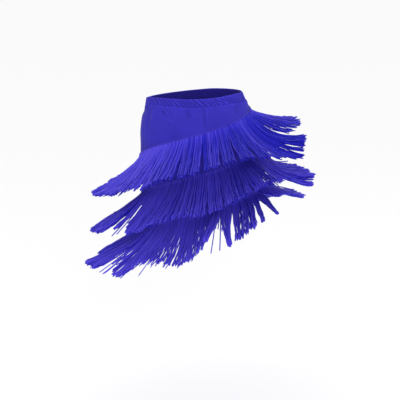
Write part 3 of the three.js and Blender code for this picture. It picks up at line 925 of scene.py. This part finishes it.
def make_strands(tier, material):
    """All strands of a tier: layered, gathered into clumps and bundles, uneven."""
    rng = np.random.default_rng(FIRST_SEED + tier)
    angle = spaced(rng, STRANDS_PER_TIER, STRAND_SPACING)
    clump_angle = spaced(rng, CLUMPS, CLUMP_SPACING)
    middles, _ = drawn_lines(rng, tier, clump_angle, CLUMP_SPREAD, 0.0)
    clump, gap = nearest_clumps(BUNDLES[tier], angle, clump_angle)
    lift = LIFT["middle"] * np.cos(2 * math.pi * np.minimum(gap / CLUMP_DEGREES, 0.5))
    lift = lift + rng.uniform(-LIFT["spread"], LIFT["spread"], len(angle))
    lines, length = drawn_lines(rng, tier, angle, STRAND_SPREAD, lift)
    lines = wavering(rng, clumped(rng, lines, middles, clump))

    single = of_tier(STRAYS, tier)
    single_count = len(single["angle"])
    single["curl"] = np.full(single_count, STRAY_CURL)
    lines = np.concatenate([lines, row_lines(tier, single, STRAND_MIDDLE + STRAY_OUT)])
    length = np.concatenate([length, single["length"]])
    angle = np.concatenate([angle, single["angle"]])
    clump = np.concatenate([clump, np.zeros(single_count, int)])
    lift = np.concatenate([lift, np.ones(single_count)])

    count, stops = len(lines), len(STRAND_STOPS)
    radius = STRAND_RADIUS * rng.uniform(*RADIUS_SHARES, (count, 1)) * np.ones((1, stops))
    radius[:, -1] *= TIP_RADIUS
    tubes = tubes_round(lines, radius, rng.uniform(0, MOST_SPIN, count))
    shade = strand_shades(rng, tier, angle, clump, lift)
    # Painted light near the root of each strand
    painted_root_light = ROOT_PAINTED_LIGHT["more"] * np.exp(-STRAND_STOPS / ROOT_PAINTED_LIGHT["reach"])
    lay = np.zeros(tubes.shape)
    lay[..., 0] = (STRAND_STOPS[None, :] * length[:, None] * MM)[..., None]
    lay[..., 1] = np.arange(STRAND_SIDES) / STRAND_SIDES
    lay[..., 2] = (shade[:, None] + painted_root_light[None, :])[..., None]
    return build(f"strands_{tier + 1}", tubes, tube_faces(count, stops), lay, material)


def make_stitches(name, drop_at, out, material):
    """Small stitches along a line of drops by angle, each a bar bowed off the cloth."""
    count = int(360 * MM_PER_DEGREE / STITCH["pitch"])
    middle = (np.arange(count) / count * 360 - 180)[:, None]
    along = STITCH_LINE["along"]
    angle = middle + along * STITCH["length"] / MM_PER_DEGREE
    drop = drop_at(angle)
    bow = STITCH["bow"] * (1 - 2 * (2 * along) ** 2)
    lines = place(angle, drop, out + relief(angle, drop) + bow)
    radius = STITCH["radius"] * np.broadcast_to(STITCH_LINE["radius"], angle.shape)
    tubes = tubes_round(lines, radius, np.zeros(count))
    lay = np.zeros(tubes.shape)
    lay[..., 0] = along[:, None] * STITCH["length"] * MM
    lay[..., 2] = STITCH_SHADE
    return build(name, tubes, tube_faces(count, len(along)), lay, material)


def make_tape_stitches(tier, edge, material):
    """The stitches that hold a tape to the cloth, along one of its edges."""
    return make_stitches(f"tape_{tier + 1}_{edge}_stitches",
                         lambda angle: tape_top(tier, angle) + TAPE_STITCHES[edge],
                         TAPE_OUT + TAPE_THICKNESS + RIB_HEIGHT, material)


def make_seam_stitches(material):
    """The stitches below the waistband."""
    return make_stitches("waist_seam_stitches",
                         lambda angle: band_bottom(angle) + SEAM_STITCHES, CLOTH, material)


def make_hem_stitches(number, up, material):
    """One of the hem's two lines of stitches."""
    return make_stitches(f"hem_stitches_{number}", lambda angle: hem_drop(angle) - up, CLOTH,
                         material)


# The scene

def attach(piece, node_name):
    """The piece, which rides on the root and stands for a node of the CAD part."""
    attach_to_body(piece, "root")
    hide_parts(node_name)
    return piece


def make_floor():
    half = FLOOR["half"]
    corners = [(-half, -half, 0), (half, -half, 0), (half, half, 0), (-half, half, 0)]
    mesh = bpy.data.meshes.new("floor")
    mesh.from_pydata(corners, [], [(0, 1, 2, 3)])
    floor = bpy.data.objects.new("floor", mesh)
    floor.location.z = FLOOR["level"]
    bpy.context.scene.collection.objects.link(floor)
    material, shader = new_material("pale_floor")
    feed(material, shader, {"Base Color": FLOOR["colour"], "Roughness": 0.9, "Specular IOR Level": 0.0})
    floor.data.materials.append(material)


def make_light(name, place_at, aim, size, power):
    light = bpy.data.lights.new(name, "AREA")
    light.shape = "SQUARE"
    light.size = size
    light.energy = power
    lamp = bpy.data.objects.new(name, light)
    lamp.location = place_at
    lamp.rotation_euler = (Vector(aim) - Vector(place_at)).to_track_quat("-Z", "Y").to_euler()
    bpy.context.scene.collection.objects.link(lamp)


def make_world():
    """Even white light from all round."""
    world = bpy.context.scene.world or bpy.data.worlds.new("world")
    bpy.context.scene.world = world
    world.use_nodes = True
    background = world.node_tree.nodes["Background"]
    background.inputs["Color"].default_value = (1, 1, 1, 1)
    background.inputs["Strength"].default_value = 1.0


def make_camera():
    """The photo's view, from in front and a little above."""
    aim, height = Vector(CAMERA["aim"]), CAMERA["height"]
    camera = bpy.data.objects.new("camera", bpy.data.cameras.new("camera"))
    camera.data.lens = CAMERA["lens"]
    camera.data.sensor_width = SENSOR
    camera.location = aim + CAMERA["distance"] * Vector((0, -math.cos(height), math.sin(height)))
    camera.rotation_euler = (aim - camera.location).to_track_quat("-Z", "Y").to_euler()
    bpy.context.scene.collection.objects.link(camera)
    bpy.context.scene.camera = camera


cloth, tape_cloth, yarn = body_jersey(), tape_weave(), fringe_yarn()
waistband = attach(make_waistband(band_jersey()), "waistband")
left_seam, right_seam = SIDE_SEAMS
front = attach(make_panel("front_cloth", left_seam, right_seam, cloth), "front_panel")
back = attach(make_panel("back_cloth", right_seam, left_seam + 360, cloth), "back_panel")

for tier in range(TIERS):
    for piece in (make_tape(tier, tape_cloth), make_strands(tier, yarn)):
        attach(piece, f"fringe_tier_{tier + 1}")

for tier in range(TIERS):
    for edge in TAPE_STITCHES:
        attach(make_tape_stitches(tier, edge, yarn), f"fringe_tier_{tier + 1}")
attach(make_seam_stitches(yarn), "waistband")
for number, up in enumerate(HEM_STITCHES):
    attach(make_hem_stitches(number + 1, up, yarn), "front_panel")

make_floor()
for light in LIGHTS:
    make_light(**light)
make_world()
bpy.context.scene.view_settings.view_transform = "Standard"
make_camera()
